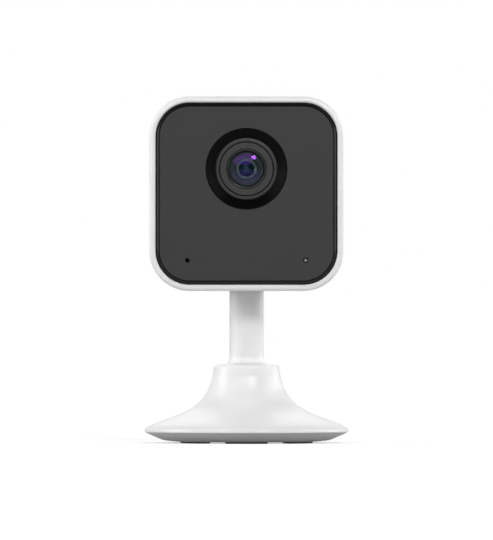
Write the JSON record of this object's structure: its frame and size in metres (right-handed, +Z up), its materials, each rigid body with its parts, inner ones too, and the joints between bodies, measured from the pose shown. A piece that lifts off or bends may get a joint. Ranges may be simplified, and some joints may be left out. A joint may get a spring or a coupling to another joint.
{
  "type": "security camera",
  "caption": "Indoor security camera: rounded-square head with a dark front panel and lens, tilting on a short stem that swivels over a round flared base.",
  "frame": {"origin": "centre of the base on the surface that the foot pads stand on", "axes": "+Z up along the stem, the lens looks along -Y, +X to the right seen from the front"},
  "size_m": [0.064, 0.064, 0.1078],
  "materials": {
    "white_shell": "fine satin, light",
    "grey_plate": "satin grey",
    "gloss_black": "polished black",
    "smoked_panel": "satin smoked grey",
    "black_plastic": "matte black",
    "grey_trim": "satin dark grey",
    "barrel_black": "black anodised",
    "coated_glass": "coated optical glass",
    "inner_glass": "optical glass",
    "filter_glass": "tinted filter glass",
    "rubber_black": "soft black rubber",
    "steel": "plain steel",
    "screw_steel": "zinc plated",
    "brass_insert": "knurled brass",
    "acetal": "natural acetal",
    "board_green": "solder mask",
    "chip_black": "moulded epoxy",
    "heat_pad_grey": "soft silicone",
    "aluminium_plain": "plain aluminium",
    "tinned_can": "tinned sheet",
    "lamp_clear": "clear resin",
    "pipe_frost": "frosted light pipe",
    "foam": "soft foam",
    "speaker_black": "pressed basket"
  },
  "bodies": {
    "base": {"base_shell": "white_shell", "base_plate": "grey_plate", "weight_plate": "steel", "foot_pads": "rubber_black", "base_screws": "screw_steel", "collar_bush": "acetal"},
    "stem": {"stem": "white_shell", "stem_insert": "brass_insert", "swivel_washer": "steel", "swivel_screw": "screw_steel"},
    "head": {"antenna": "tinned_can", "board_screws": "screw_steel", "card_socket": "tinned_can", "friction_washers": "acetal", "front_board": "board_green", "front_board_screws": "screw_steel", "front_frame": "gloss_black", "front_window": "smoked_panel", "heat_pad": "heat_pad_grey", "heat_sink": "aluminium_plain", "hinge_clips": "steel", "hinge_pin": "steel", "holder_screws": "screw_steel", "housing_screws": "screw_steel", "image_sensor": "chip_black", "indicator_lamp": "lamp_clear", "infrared_filter": "filter_glass", "infrared_lamps": "lamp_clear", "lens_baffle": "black_plastic", "lens_barrel": "barrel_black", "lens_front_glass": "coated_glass", "lens_front_ring": "barrel_black", "lens_holder": "black_plastic", "lens_iris": "black_plastic", "lens_lock_ring": "black_plastic", "lens_middle_glass": "inner_glass", "lens_rear_glass": "inner_glass", "lens_rear_ring": "black_plastic", "lens_spacer": "black_plastic", "lens_surround": "gloss_black", "lens_trim_ring": "grey_trim", "light_pipe": "pipe_frost", "light_sensor": "lamp_clear", "main_board": "board_green", "memory_chip": "chip_black", "microphone": "tinned_can", "microphone_boot": "rubber_black", "power_inlet": "tinned_can", "processor": "chip_black", "radio_shield": "tinned_can", "rear_housing": "white_shell", "reset_switch": "chip_black", "sensor_glass": "inner_glass", "speaker": "speaker_black", "speaker_gasket": "foam"},
    "reset_button": {"reset_button": "grey_trim"}
  },
  "joints": [
    {"name": "stem_swivel", "type": "hinge", "parent": "base", "child": "stem", "pos_m": [0, 0, 0.0247], "axis": [0, 0, 1], "continuous": true},
    {"name": "head_tilt", "type": "hinge", "parent": "stem", "child": "head", "pos_m": [0, 0, 0.0564], "axis": [1, 0, 0], "range_deg": [-90, 15]},
    {"name": "reset_press", "type": "slide", "parent": "head", "child": "reset_button", "axis": [0, -1, 0], "range_m": [0, 0.0005], "stiffness_N_per_m": 300, "springref_m": -0.0003}
  ]
}
